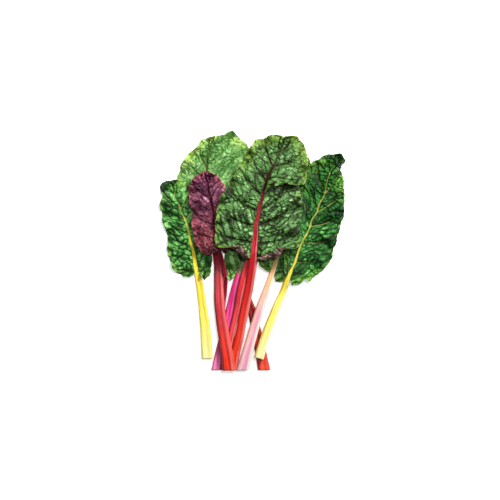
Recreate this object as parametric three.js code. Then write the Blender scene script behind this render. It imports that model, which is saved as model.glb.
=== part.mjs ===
import * as THREE from 'three';

// A loose bunch of rainbow chard lying flat, as cut: nine leaves that fan out from their stalks.
// Millimetres. +X is right, +Y runs from the cut stalks to the leaf tips, +Z is up from the surface below.

// Driving dimensions
const BLADE_THICKNESS = 0.9;
const SLOT_GAP = 0.35; // between a midrib and the blade on either side of it
const STALK_LIFT = 0.9; // a midrib's height over what its leaf lies on
const DRAPE = 27; // a leaf starts to rise this far from the edge of the leaf below it
const CREST_EASE = 18; // and this far from the side of a stalk below it
const OVERHANG = 4; // how far a waved margin may stand outside its outline
const MIDRIB_END = 0.84; // share of the blade's length where the midrib ends
const RIB_SHOULDER = 0.8; // the blade meets its midrib this far below the midrib's top
const RIB_TAPER = 1.8; // a midrib slims evenly at 1, and sooner the more this is
const VEIN_SLANT = 0.16; // share of the blade's length that a side vein runs on before the margin
const FREE_RISE = 18; // the most that a margin with nothing on it stands up
const CURL_BAND = 28; // width of the margin that rolls over where a leaf has a curl
const CURL_EASE = 0.07; // share of the blade's length over which a curl begins
const CURL_SHARE = 0.65; // the most of a row that rolls over
const CURL_COLUMNS = 0.375; // share of a row's columns that stay flat beside a curl
const CUT_LINE = -178; // where one straight cut ends five of the stalks
const RING_STEP = 13; // length of stalk between two of its sections
const SAMPLES_PER_SPAN = 16; // of each smooth line, between two of its points

// Half a stalk's section, as [share of the half-width, share of the depth]: flat below, channelled above
const SECTION = [[-0.32, 0], [0.32, 0], [0.86, 0.25], [1, 0.62], [0.66, 1], [0, 0.9], [-0.66, 1], [-1, 0.62],
  [-0.86, 0.25]];

const GREEN = { color: 0x2c6a30, roughness: 0.45, metalness: 0 };
const LIGHT_GREEN = { color: 0x5c9c48, roughness: 0.45, metalness: 0 };
const PURPLE = { color: 0x6d2f47, roughness: 0.45, metalness: 0 };
const YELLOW = { color: 0xf4d742, roughness: 0.35, metalness: 0 };

// The leaves from the lowest to the topmost. Each has these measures:
//   petiole  points along the bare stalk from its cut end, [x, y, height of its underside]
//   midrib   points [x, y] from the base of the blade to its tip
//   left, right  the blade's margins from its base to its tip, [x, y]
//   width, depth  the stalk's section at its cut end, at the base of the blade and at the tip
//   room     height that the blade takes up in the pile
//   ruffle, waves, phase  height, number and start of the waves of each margin
//   quilt, veins  height of the blade between its side veins, and number of those veins on each side
//   cup      rise of the margins over the midrib
//   curl     turn in radians of the rolled margin at the blade's base, and where it ends up the blade
const LEAVES = [
  {
    name: 'dark_red', stalk: { color: 0xa3221b, roughness: 0.35, metalness: 0 }, blade: GREEN,
    petiole: [[17, -178, 0], [12, -152, 0], [6, -123, 0], [0, -94, 0], [-9, -69, 0], [-16, -44, 0]],
    midrib: [[-24, -10], [-30, 16], [-36, 44], [-41, 72], [-44, 100], [-46, 128]],
    left: [[-37, -9], [-51, 8], [-59, 33], [-63, 62], [-61, 92], [-55, 117], [-46, 129]],
    right: [[-13, -6], [-3, 14], [-3, 40], [-9, 70], [-19, 99], [-33, 120], [-46, 129]],
    width: [18, 9, 2], depth: [8.6, 5, 1.6], room: 4.2, cut: CUT_LINE,
    ruffle: 3, waves: 5, phase: 0.1, quilt: 1, veins: 5, cup: 0, rows: 17, columns: 5,
  },
  {
    name: 'magenta', stalk: { color: 0xdb4a92, roughness: 0.35, metalness: 0 }, blade: GREEN,
    petiole: [[-55.5, -178, 0], [-50, -152, 0], [-44, -128, 0], [-39, -106, 0], [-34.5, -87, 2],
      [-27.5, -58, 6.5]],
    midrib: [[-18, -24], [-12, 3], [-4, 33], [3, 64], [10, 96], [15, 128]],
    left: [[-27, -38], [-34, -44], [-37, -32], [-38, -10], [-36, 16], [-30, 46], [-21, 76], [-6, 106],
      [15, 130]],
    right: [[-9, -24], [8, -16], [23, 2], [32, 28], [35, 58], [32, 92], [15, 130]],
    width: [12, 9.5, 2], depth: [8, 5, 1.6], room: 4.4, cut: CUT_LINE,
    ruffle: 4, waves: 5, phase: 0.35, quilt: 1.2, veins: 6, cup: 0, rows: 18, columns: 5,
  },
  {
    name: 'crimson', stalk: { color: 0xd8354f, roughness: 0.35, metalness: 0 }, blade: GREEN,
    petiole: [[-43.6, -178, 0], [-38.6, -156, 0], [-33.8, -134, 0], [-28.9, -111, 2.4], [-23.4, -87, 6],
      [-18, -57, 12.8]],
    midrib: [[-7, -16], [0, 8], [6, 34], [13, 63], [20, 92], [24, 116]],
    left: [[-19, -14], [-25, 3], [-22, 28], [-15, 57], [-4, 86], [9, 106], [24, 117]],
    right: [[8, -14], [27, -2], [41, 20], [48, 48], [47, 76], [38, 100], [24, 117]],
    width: [9.6, 9, 2], depth: [8, 5, 1.6], room: 4.2, cut: CUT_LINE,
    ruffle: 3, waves: 5, phase: 0.6, quilt: 1, veins: 5, cup: 0, rows: 17, columns: 5,
  },
  {
    name: 'pink', stalk: { color: 0xf2a6b4, roughness: 0.35, metalness: 0 }, blade: GREEN,
    petiole: [[-15, -178, 4], [-6, -144, 9], [2, -116, 9.6], [7, -100, 9.6], [14, -77, 8]],
    midrib: [[29, -34], [36, -12], [44, 12], [52, 39], [60, 68], [69, 98], [84, 138]],
    left: [[17, -28], [8, -16], [11, 4], [18, 32], [27, 60], [39, 92], [56, 118], [72, 136], [84, 140]],
    right: [[34, -46], [47, -45], [56, -26], [66, 2], [77, 32], [84, 63], [90, 94], [90, 122], [84, 140]],
    width: [18, 9, 2], depth: [9, 5.5, 1.6], room: 4.6, cut: CUT_LINE,
    ruffle: 5, waves: 6, phase: 0.2, quilt: 1.4, veins: 6, cup: 0, rows: 20, columns: 5,
  },
  {
    name: 'red', stalk: { color: 0xe83a33, roughness: 0.35, metalness: 0 }, blade: LIGHT_GREEN,
    petiole: [[-36, -178, 9.5], [-39, -152, 9.8], [-43, -128, 9.8], [-47, -102, 9], [-50, -76, 7.5],
      [-51, -50, 3.5], [-52, -22, 0]],
    midrib: [[-57, 16], [-61, 42], [-65, 70], [-68, 99], [-69, 124], [-67, 146], [-57, 171]],
    left: [[-73, 12], [-88, 30], [-99, 56], [-108, 81], [-112, 105], [-109, 122], [-99, 142], [-82, 157],
      [-76, 166], [-57, 172]],
    right: [[-40, 12], [-22, 28], [-10, 56], [-4, 84], [-3, 118], [-5, 150], [-15, 165], [-30, 178],
      [-42, 175], [-57, 172]],
    width: [19, 11, 2], depth: [9, 6, 1.8], room: 5.4, cut: CUT_LINE,
    ruffle: 11, waves: 6.5, phase: 0.15, quilt: 3, veins: 7, cup: 4, rows: 26, columns: 7,
  },
  {
    name: 'yellow_left', stalk: YELLOW, blade: GREEN,
    petiole: [[-68, -161, 0], [-70, -128, 0], [-74, -90, 0], [-79, -54, 0]],
    midrib: [[-83, -33], [-87, -15], [-91, 10], [-97, 34], [-104, 55], [-113, 75], [-121, 102]],
    left: [[-94, -39], [-108, -36], [-120, -24], [-127, 0], [-127, 22], [-133, 39], [-138, 69], [-135, 84],
      [-139, 96], [-132, 103], [-121, 105]],
    right: [[-72, -44], [-63, -32], [-61, -8], [-61, 16], [-67, 44], [-76, 68], [-87, 87], [-99, 102],
      [-111, 106], [-121, 105]],
    width: [17, 10, 2], depth: [9, 6, 1.8], room: 5.4, cut: -161,
    ruffle: 12, waves: 5.5, phase: 0.55, quilt: 3, veins: 7, cup: 4, rows: 24, columns: 6,
  },
  {
    name: 'purple', stalk: { color: 0x8e1628, roughness: 0.35, metalness: 0 }, blade: PURPLE,
    petiole: [[-46, -96, 0], [-44, -78, 0], [-41, -58, 2], [-41, -39, 6.5], [-44.3, -20, 9.8]],
    midrib: [[-49, 0], [-55, 20], [-58, 39], [-60, 62], [-64, 82], [-72, 117]],
    left: [[-63, -6], [-76, -2], [-86, 15], [-90, 34], [-90, 56], [-95, 80], [-93, 98], [-84, 112],
      [-72, 119]],
    right: [[-37, 0], [-30, 18], [-28, 44], [-33, 70], [-41, 96], [-52, 110], [-63, 117], [-72, 119]],
    width: [7, 5.5, 1.6], depth: [5.5, 4, 1.4], room: 5, cut: null,
    ruffle: 9, waves: 4.5, phase: 0.8, quilt: 2.6, veins: 6, cup: 3, rows: 22, columns: 5,
  },
  {
    name: 'yellow_right', stalk: YELLOW, blade: GREEN,
    petiole: [[9, -160, 8.8], [17, -132, 8.8], [25, -110, 7], [35, -85, 4], [45, -62, 1.5]],
    midrib: [[53, -40], [66, -8], [82, 30], [99, 67], [107, 86], [113, 106], [123, 140]],
    left: [[46, -28], [48, -2], [54, 28], [63, 62], [71, 92], [79, 116], [88, 131], [99, 138], [108, 143],
      [122, 145]],
    right: [[58, -51], [71, -49], [80, -40], [85, -45], [95, -36], [115, -16], [126, 20], [135, 51],
      [137, 84], [134, 114], [132, 126], [138, 135], [132, 144], [122, 145]],
    width: [14.5, 9.5, 2], depth: [8.8, 6, 1.8], room: 5.4, cut: null,
    ruffle: 12, waves: 6, phase: 0.3, quilt: 3, veins: 7, cup: 4, rows: 25, columns: 7,
  },
  {
    name: 'centre', stalk: { color: 0xcf2432, roughness: 0.35, metalness: 0 }, blade: GREEN,
    petiole: [[-30.5, -178, 0], [-26, -152, 1], [-20, -128, 4], [-15, -102, 7], [-10, -76, 9.5],
      [-5, -52, 13]],
    midrib: [[1, -10], [3, 14], [6, 44], [13, 77], [18, 96], [26, 118], [36, 138], [48, 170]],
    left: [[-12, -12], [-28, -21], [-45, -8], [-55, 14], [-55, 33], [-51, 68], [-36, 99], [-15, 135],
      [-5, 152], [5, 166], [18, 169], [33, 174], [48, 171]],
    right: [[14, -14], [34, -26], [59, -16], [70, 16], [69, 40], [73, 62], [69, 92], [53, 111], [22, 95],
      [47, 100], [75, 99], [81, 124], [79, 152], [67, 170], [48, 171]],
    width: [14.5, 12.5, 2], depth: [8.6, 7, 1.8], room: 6, cut: CUT_LINE,
    ruffle: 11, waves: 7, phase: 0.05, quilt: 3.4, veins: 8, cup: 5, rows: 30, columns: 8,
    curl: { until: 0.2, turn: 3.3 },
  },
];

const mix = THREE.MathUtils.lerp;

function smooth(share) {
  return THREE.MathUtils.smoothstep(share, 0, 1);
}

// A smooth line through hand-placed points, never below the surface, with the length run at each sample
function tracePath(points, perSpan = SAMPLES_PER_SPAN) {
  const curve = new THREE.CatmullRomCurve3(points.map(([x, y, z = 0]) => new THREE.Vector3(x, y, z)), false,
    'catmullrom', 0.5);
  const samples = curve.getPoints((points.length - 1) * perSpan);
  samples.forEach((sample) => sample.setZ(Math.max(sample.z, 0)));
  const run = [0];
  for (let i = 1; i < samples.length; i += 1) {
    run.push(run[i - 1] + samples[i].distanceTo(samples[i - 1]));
  }
  return { samples, run, length: run[run.length - 1] };
}

function pointAlong(path, length) {
  const wanted = THREE.MathUtils.clamp(length, 0, path.length);
  let i = 1;
  while (i < path.run.length - 1 && path.run[i] < wanted) {
    i += 1;
  }
  const share = (wanted - path.run[i - 1]) / (path.run[i] - path.run[i - 1]);
  return path.samples[i - 1].clone().lerp(path.samples[i], share);
}

// The unit vector in plan that points to the right of a path
function rightOf(path, length) {
  const ahead = pointAlong(path, length + 1).sub(pointAlong(path, length - 1));
  return new THREE.Vector3(ahead.y, -ahead.x, 0).normalize();
}

// Width or depth of a stalk at a length along it, from its three measures
function taper(leaf, measures, length) {
  if (length < leaf.baseAt) {
    return mix(measures[0], measures[1], length / leaf.baseAt);
  }
  const share = (length - leaf.baseAt) / bladeLength(leaf);
  return mix(measures[1], measures[2], 1 - (1 - share) ** RIB_TAPER);
}

function bladeLength(leaf) {
  return leaf.spine.length - leaf.baseAt;
}

// Distance in plan from a point to the outside of a leaf's outline, 0 within it
function distanceOutside(outline, x, y) {
  let inside = false;
  let nearest = Infinity;
  outline.forEach((a, i) => {
    const b = outline[(i + 1) % outline.length];
    const [dx, dy] = [b.x - a.x, b.y - a.y];
    if ((a.y > y) !== (b.y > y) && x < a.x + (dx * (y - a.y)) / dy) {
      inside = !inside;
    }
    const share = THREE.MathUtils.clamp(((x - a.x) * dx + (y - a.y) * dy) / (dx * dx + dy * dy || 1), 0, 1);
    nearest = Math.min(nearest, Math.hypot(x - a.x - share * dx, y - a.y - share * dy));
  });
  return inside ? 0 : nearest;
}

// How far a leaf's blade covers a place: 1 on it, easing to 0 at the drape's width outside it
function coverOf(leaf, x, y) {
  return smooth(1 - (distanceOutside(leaf.outline, x, y) - OVERHANG) / DRAPE);
}

// The top of a leaf's stalk nearest to a place, and how near it is: 1 on the stalk, 0 past the ease
function crestOf(leaf, x, y) {
  let best = { distance: Infinity };
  const { samples, run } = leaf.spine;
  for (let i = 1; i < samples.length; i += 1) {
    const [a, b] = [samples[i - 1], samples[i]];
    const [dx, dy] = [b.x - a.x, b.y - a.y];
    const share = THREE.MathUtils.clamp(((x - a.x) * dx + (y - a.y) * dy) / (dx * dx + dy * dy), 0, 1);
    const distance = Math.hypot(x - a.x - share * dx, y - a.y - share * dy);
    if (distance < best.distance) {
      best = { distance, length: mix(run[i - 1], run[i], share), under: mix(a.z, b.z, share) };
    }
  }
  const halfWidth = taper(leaf, leaf.width, best.length) / 2;
  return {
    top: best.under + taper(leaf, leaf.depth, best.length),
    near: smooth(1 - (best.distance - halfWidth - 1) / CREST_EASE),
  };
}

// Height of the pile at a place, once the given leaves lie there
function pileHeight(leaves, x, y) {
  return leaves.reduce((height, leaf) => {
    const bladeTop = height + leaf.room * coverOf(leaf, x, y);
    const crest = crestOf(leaf, x, y);
    return bladeTop + Math.max(0, crest.top - bladeTop) * crest.near;
  }, 0);
}

// Settles each leaf's outline and the line of its stalk, which rides over the leaves below it
function layOut() {
  LEAVES.forEach((leaf, order) => {
    leaf.margins = { left: tracePath(leaf.left), right: tracePath(leaf.right) };
    leaf.outline = [...leaf.margins.left.samples, ...leaf.margins.right.samples.slice(0, -1).reverse()]
      .filter((point, i) => i % 4 === 0);
    leaf.below = LEAVES.slice(0, order);
    leaf.above = LEAVES.slice(order + 1);
    const ribPoints = leaf.midrib.map(([x, y]) => [x, y, pileHeight(leaf.below, x, y) + STALK_LIFT]);
    leaf.spine = tracePath([...leaf.petiole, ...ribPoints]);
    leaf.baseAt = leaf.spine.run[leaf.petiole.length * SAMPLES_PER_SPAN];
  });
}

// Waves of the margin and quilting between the side veins, before what lies on the leaf flattens them
function freeRelief(leaf, side, u, v) {
  const turn = 2 * Math.PI * (leaf.waves * u + leaf.phase + 0.31 * side);
  const wave = 0.75 * Math.sin(turn) + 0.25 * Math.sin(2.3 * turn + 1);
  const span = Math.abs(Math.sin(Math.PI * leaf.veins * (u - VEIN_SLANT * v)));
  const quilting = span * Math.sin(Math.PI * v ** 0.9);
  const ends = smooth(u / 0.08);
  return leaf.ruffle * wave * v ** 2.2 * ends + leaf.quilt * quilting + leaf.cup * v * v * ends;
}

function squeeze(rise, limit) {
  return limit * Math.tanh(rise / limit);
}

// Height of a blade's middle surface at a place given in plan and by its shares of length and width
function bladeHeight(leaf, side, u, v, x, y) {
  const level = pileHeight(leaf.below, x, y) + leaf.room / 2;
  const own = crestOf(leaf, x, y);
  const shoulder = Math.max(0, own.top - RIB_SHOULDER - level) * own.near;
  const free = leaf.above.reduce((share, other) => share * (1 - coverOf(other, x, y)), 1);
  const slack = leaf.room / 2 - BLADE_THICKNESS / 2 - 0.25;
  const rise = freeRelief(leaf, side, u, v) * smooth(v / 0.3);
  return level + shoulder + (rise > 0 ? squeeze(rise, mix(slack, FREE_RISE, free)) : squeeze(rise, slack));
}

// A row of points from the midrib to the margin
function plainRow(leaf, sign, u, inner, outer) {
  const row = [];
  for (let j = 0; j <= leaf.columns; j += 1) {
    const v = 1 - (1 - j / leaf.columns) ** 1.25;
    const point = inner.clone().lerp(outer, v);
    point.z = bladeHeight(leaf, sign, u, v, point.x, point.y);
    row.push(point);
  }
  return row;
}

// A row whose last stretch rolls up and back over the blade, in a round arc
function curledRow(leaf, sign, u, inner, outer, turn) {
  const width = Math.hypot(outer.x - inner.x, outer.y - inner.y);
  const band = Math.min(CURL_BAND, CURL_SHARE * width);
  const start = 1 - band / width;
  const ahead = outer.clone().sub(inner).setZ(0).normalize();
  const edge = inner.clone().lerp(outer, start);
  edge.z = bladeHeight(leaf, sign, u, start, edge.x, edge.y);
  const radius = band / turn;
  const row = [];
  for (let j = 0; j <= leaf.columns; j += 1) {
    const share = j / leaf.columns;
    if (share < CURL_COLUMNS) {
      const v = (start * share) / CURL_COLUMNS;
      const point = inner.clone().lerp(outer, v);
      point.z = bladeHeight(leaf, sign, u, v, point.x, point.y);
      row.push(point);
    } else {
      const angle = (turn * (share - CURL_COLUMNS)) / (1 - CURL_COLUMNS);
      const point = edge.clone().addScaledVector(ahead, radius * Math.sin(angle));
      point.z += radius * (1 - Math.cos(angle));
      row.push(point);
    }
  }
  return row;
}

// One half of a blade as rows of points from the midrib to the margin
function bladeHalf(leaf, side) {
  const sign = side === 'left' ? -1 : 1;
  const rows = [];
  for (let i = 0; i <= leaf.rows; i += 1) {
    const u = i / leaf.rows;
    const along = leaf.baseAt + u * bladeLength(leaf);
    const open = i <= Math.ceil(MIDRIB_END * leaf.rows);
    const slot = open ? taper(leaf, leaf.width, along) / 2 + SLOT_GAP : 0;
    const inner = pointAlong(leaf.spine, along).addScaledVector(rightOf(leaf.spine, along), sign * slot);
    const outer = pointAlong(leaf.margins[side], u * leaf.margins[side].length);
    const turn = leaf.curl ? leaf.curl.turn * smooth((leaf.curl.until - u) / CURL_EASE) : 0;
    const makeRow = turn > 0 ? curledRow : plainRow;
    rows.push(makeRow(leaf, sign, u, inner, outer, turn));
  }
  return rows;
}

// Joins rows of points into one middle surface, with the points that coincide merged
function joinHalves(halves) {
  const points = [];
  const numbers = new Map();
  const triangles = [];
  const numberOf = (point) => {
    const key = [point.x, point.y, point.z].map((value) => value.toFixed(3)).join(' ');
    if (!numbers.has(key)) {
      numbers.set(key, points.length);
      points.push(point);
    }
    return numbers.get(key);
  };
  const addTriangle = (a, b, c) => {
    if (a !== b && b !== c && c !== a) {
      triangles.push([a, b, c]);
    }
  };
  halves.forEach(({ rows, facing }) => {
    for (let i = 1; i < rows.length; i += 1) {
      for (let j = 1; j < rows[i].length; j += 1) {
        const corners = [rows[i - 1][j - 1], rows[i][j - 1], rows[i][j], rows[i - 1][j]].map(numberOf);
        const [a, b, c, d] = facing > 0 ? corners : [corners[0], corners[3], corners[2], corners[1]];
        addTriangle(a, b, c);
        addTriangle(a, c, d);
      }
    }
  });
  return { points, triangles };
}

// Gives a middle surface its thickness: both faces are split alike and walls close its edges
function thicken({ points, triangles }, thickness) {
  const flat = new THREE.BufferGeometry().setFromPoints(points);
  flat.setIndex(triangles.flat());
  flat.computeVertexNormals();
  const normals = flat.getAttribute('normal');
  const offset = (sign) => points.map((point, i) => point.clone()
    .addScaledVector(new THREE.Vector3().fromBufferAttribute(normals, i), (sign * thickness) / 2));
  const under = points.length;
  const faces = triangles.flatMap(([a, b, c]) => [[a, b, c], [a + under, c + under, b + under]]);
  const edges = new Set(triangles.flatMap(([a, b, c]) => [`${a} ${b}`, `${b} ${c}`, `${c} ${a}`]));
  edges.forEach((edge) => {
    const [a, b] = edge.split(' ').map(Number);
    if (!edges.has(`${b} ${a}`)) {
      faces.push([a, a + under, b + under], [a, b + under, b]);
    }
  });
  const solid = new THREE.BufferGeometry().setFromPoints([...offset(1), ...offset(-1)]);
  solid.setIndex(faces.flat());
  return solid;
}

function bladeGeometry(leaf) {
  const halves = [
    { rows: bladeHalf(leaf, 'left'), facing: 1 },
    { rows: bladeHalf(leaf, 'right'), facing: -1 },
  ];
  return thicken(joinHalves(halves), BLADE_THICKNESS);
}

// A stalk with its midrib: sections set along its line, with a cut end and a slim tip
function stalkGeometry(leaf) {
  const end = leaf.baseAt + MIDRIB_END * bladeLength(leaf);
  const count = Math.round(end / RING_STEP);
  const points = [];
  const middles = [];
  for (let i = 0; i <= count; i += 1) {
    const along = (end * i) / count;
    const middle = pointAlong(leaf.spine, along);
    const right = rightOf(leaf.spine, along);
    const ahead = new THREE.Vector3(-right.y, right.x, 0);
    const halfWidth = taper(leaf, leaf.width, along) / 2;
    const depth = taper(leaf, leaf.depth, along);
    SECTION.forEach(([across, up]) => {
      const point = middle.clone().addScaledVector(right, across * halfWidth);
      point.z += up * depth;
      if (i === 0 && leaf.cut !== null) {
        point.addScaledVector(ahead, (leaf.cut - point.y) / ahead.y);
      }
      points.push(point);
    });
    middles.push(middle.setZ(middle.z + depth / 2));
  }
  const size = SECTION.length;
  const faces = [];
  for (let i = 0; i < count; i += 1) {
    for (let k = 0; k < size; k += 1) {
      const [a, b] = [i * size + k, i * size + ((k + 1) % size)];
      faces.push([a, b + size, b], [a, a + size, b + size]);
    }
  }
  const [first, last] = [points.push(middles[0]) - 1, points.push(middles[count]) - 1];
  for (let k = 0; k < size; k += 1) {
    const next = (k + 1) % size;
    faces.push([first, k, next], [last, count * size + next, count * size + k]);
  }
  const solid = new THREE.BufferGeometry().setFromPoints(points);
  solid.setIndex(faces.flat());
  return solid;
}

function namedMesh(name, geometry, finish) {
  const mesh = new THREE.Mesh(geometry, new THREE.MeshStandardMaterial(finish));
  mesh.name = name;
  return mesh;
}

layOut();

const bunch = new THREE.Group();
LEAVES.forEach((leaf) => {
  bunch.add(namedMesh(`${leaf.name}_stalk`, stalkGeometry(leaf), leaf.stalk));
  bunch.add(namedMesh(`${leaf.name}_blade`, bladeGeometry(leaf), leaf.blade));
});

// The origin is under the middle of the bunch, on the surface that it lies on
const extent = new THREE.Box3().setFromObject(bunch);
const middle = extent.getCenter(new THREE.Vector3());
bunch.position.set(-middle.x, -middle.y, -extent.min.z);

export default bunch;
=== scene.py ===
"""Looks of the chard bunch: crinkled leaf blades and ribbed, streaked stalks in place of the plain solids."""

import math

import bpy
import numpy as np
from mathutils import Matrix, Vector


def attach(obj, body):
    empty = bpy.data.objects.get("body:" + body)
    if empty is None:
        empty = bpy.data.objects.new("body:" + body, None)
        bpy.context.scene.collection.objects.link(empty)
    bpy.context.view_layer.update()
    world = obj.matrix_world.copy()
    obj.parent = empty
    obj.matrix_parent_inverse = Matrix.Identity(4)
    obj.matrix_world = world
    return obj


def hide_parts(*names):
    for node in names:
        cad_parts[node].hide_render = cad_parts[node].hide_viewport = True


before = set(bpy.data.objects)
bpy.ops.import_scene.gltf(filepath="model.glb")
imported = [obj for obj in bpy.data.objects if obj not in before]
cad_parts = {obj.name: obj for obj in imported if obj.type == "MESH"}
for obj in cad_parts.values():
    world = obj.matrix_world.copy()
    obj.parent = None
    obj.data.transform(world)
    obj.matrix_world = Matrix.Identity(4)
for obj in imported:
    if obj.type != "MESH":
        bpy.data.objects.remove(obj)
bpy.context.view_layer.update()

# Driving dimensions, in millimetres unless said otherwise

MM = 0.001

# The pile, as in the solids
BLADE_THICKNESS = 0.9  # room that a blade takes up in the pile
CLEARANCE = 0.25  # between a blade and its neighbours in the pile
STALK_LIFT = 0.9  # of a midrib over the pile below it
OVERHANG = 4.0  # distance past a blade's margin over which the pile keeps its height
DRAPE = 27.0  # and over which it then comes down
CREST_EASE = 18.0  # the same beside a stalk
RIB_SINK = (0.8, -0.35)  # how far a blade's inner edge lies below its midrib's top, at the base and higher up
RIB_TAPER = 1.8  # the power by which a midrib slims
MIDRIB_END = 0.84  # share of the blade's length at which its midrib ends
FREE_RISE = 18.0  # the most that a blade rises where nothing lies on it
CUT_LINE = -178.0  # the knife's stroke through six of the stalks
SAMPLES_PER_SPAN = 16
PLACE = np.array([0.664, -0.346, 0.0])  # from the listed points' origin to the middle of the bunch's box

# Blades
SKIN_THICKNESS = 0.6
FINE = 0.8  # distance between two mesh points of a blade that shows
COARSE = 1.7  # and of one that isn't seen at all
MARGIN_SHARE = 0.7  # how much of a margin's length counts for the spacing of a blade's rows
SLOT_SHARE = 0.35  # of a midrib's width, from its middle to the blade's inner edge under its flank
SLOT_CLOSE = 0.05  # share of the blade's length over which that slot closes
VEIN_SLANT = 0.16  # how much nearer the tip a side vein ends, as a share of the blade's length
VEIN_WIDTH = (0.26, 0.13)  # of a side vein's valley at the midrib and at the margin, as a share of its field
VEIN_SINK = 1.4
BLISTER = (8.0, 11.0)  # length and width of a large crinkle, along and across the blade
BLISTER_RISE = 3.6
PUCKER = (3.6, 4.4)  # and of a small one
PUCKER_RISE = 1.5
DRIFT = ((6.5, 16.0), (3.0, 6.0))  # how far the crinkles wander, and over what reach: slow and quick waves
VALLEY = (0.62, 0.42)  # width of the valleys between blisters, as a share of a cell, and how much it varies
FINE_VALLEY = (0.66, 0.2)  # and between puckers
CRINKLE_SLANT = 0.55  # how far they lean to the base for each step outward
FLAT_BY_RIB = 3.0  # distance from the midrib over which they rise
FRILL = 1.6
SCALLOP = (24.0, 1.7)  # length and depth of the margin's large lobes
NOTCH = (8.5, 0.8)  # and of its small ones
LOBE_EASE = (0.06, 0.04)  # shares of the blade's length over which the lobes start and end
CURL_BAND = 28.0  # width of a base margin that rolls up
CURL_SHARE = 0.65  # and the most of the blade's half that it takes
CURL_EASE = 0.075  # share of the blade's length over which the roll ends
CURL_COLUMNS = 0.375  # share of the mesh's columns that lie flat beside the roll
FOLD_LIFT = 6.0  # rise of the lobe whose edge folds over the blade
FOLD_START = 0.012  # share of the blade's length over which it rises
FOLD_LENGTH = 0.22  # and over which it comes down
FOLD_SHADE = (82.0, 97.0)  # from here to here along the bunch the blade gets darker, under the folded lobe
SUN_BAND = 24.0  # width of the band of painted sunlight at a margin, in its pale edge colour
SUN_START = (0.5, 0.25)  # share of the blade's length at which the band starts, and over which it comes in
SUN_FOOT = (0.26, 0.18, 0.8)  # where its part at the base ends, over which share it goes, its strength
EDGE_BAND = 10.0  # width of the tinted margin
RIM_BAND = 1.8  # and of the pale line at its very edge
RIB_EDGE = 2.5  # width of the stripe beside a midrib

# Stalks: a section in shares of the half width and the depth, and what is on it
SECTION = [(-0.32, 0), (0.32, 0), (0.86, 0.25), (1, 0.62), (0.66, 1), (0, 0.9), (-0.66, 1), (-1, 0.62),
           (-0.86, 0.25)]
RIDGE = 0.055  # height of a stalk's ridges, as a share of its section
RIDGES = 8  # pairs of ridges round a stalk
CHANNEL = 0.13  # depth of the channel on top of a stalk, as a share of its depth
RIB_FADE = 34.0  # length over which a midrib runs out
SWAY = 0.5  # how far a midrib sways to each side
STALK_STEP = 2.0  # length of stalk between two of its sections
SIDES_PER_SPAN = 5  # points between two corners of a stalk's section
LUMPS = ((0.02, 17.0), (0.012, 6.1))  # unevenness of a stalk's thickness, and its reach
CUT_EASE = 14.0  # length of stalk over which its sections turn into the cut
CAP_SHARES = (0.94, 0.8, 0.6, 0.4, 0.2, 0.0)  # rings on a cut end, from its rim to its middle
CAP_DISH = 0.35  # depth of a cut end's middle

SIGNS = dict(left=-1, right=1)  # of distances from the midrib

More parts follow.
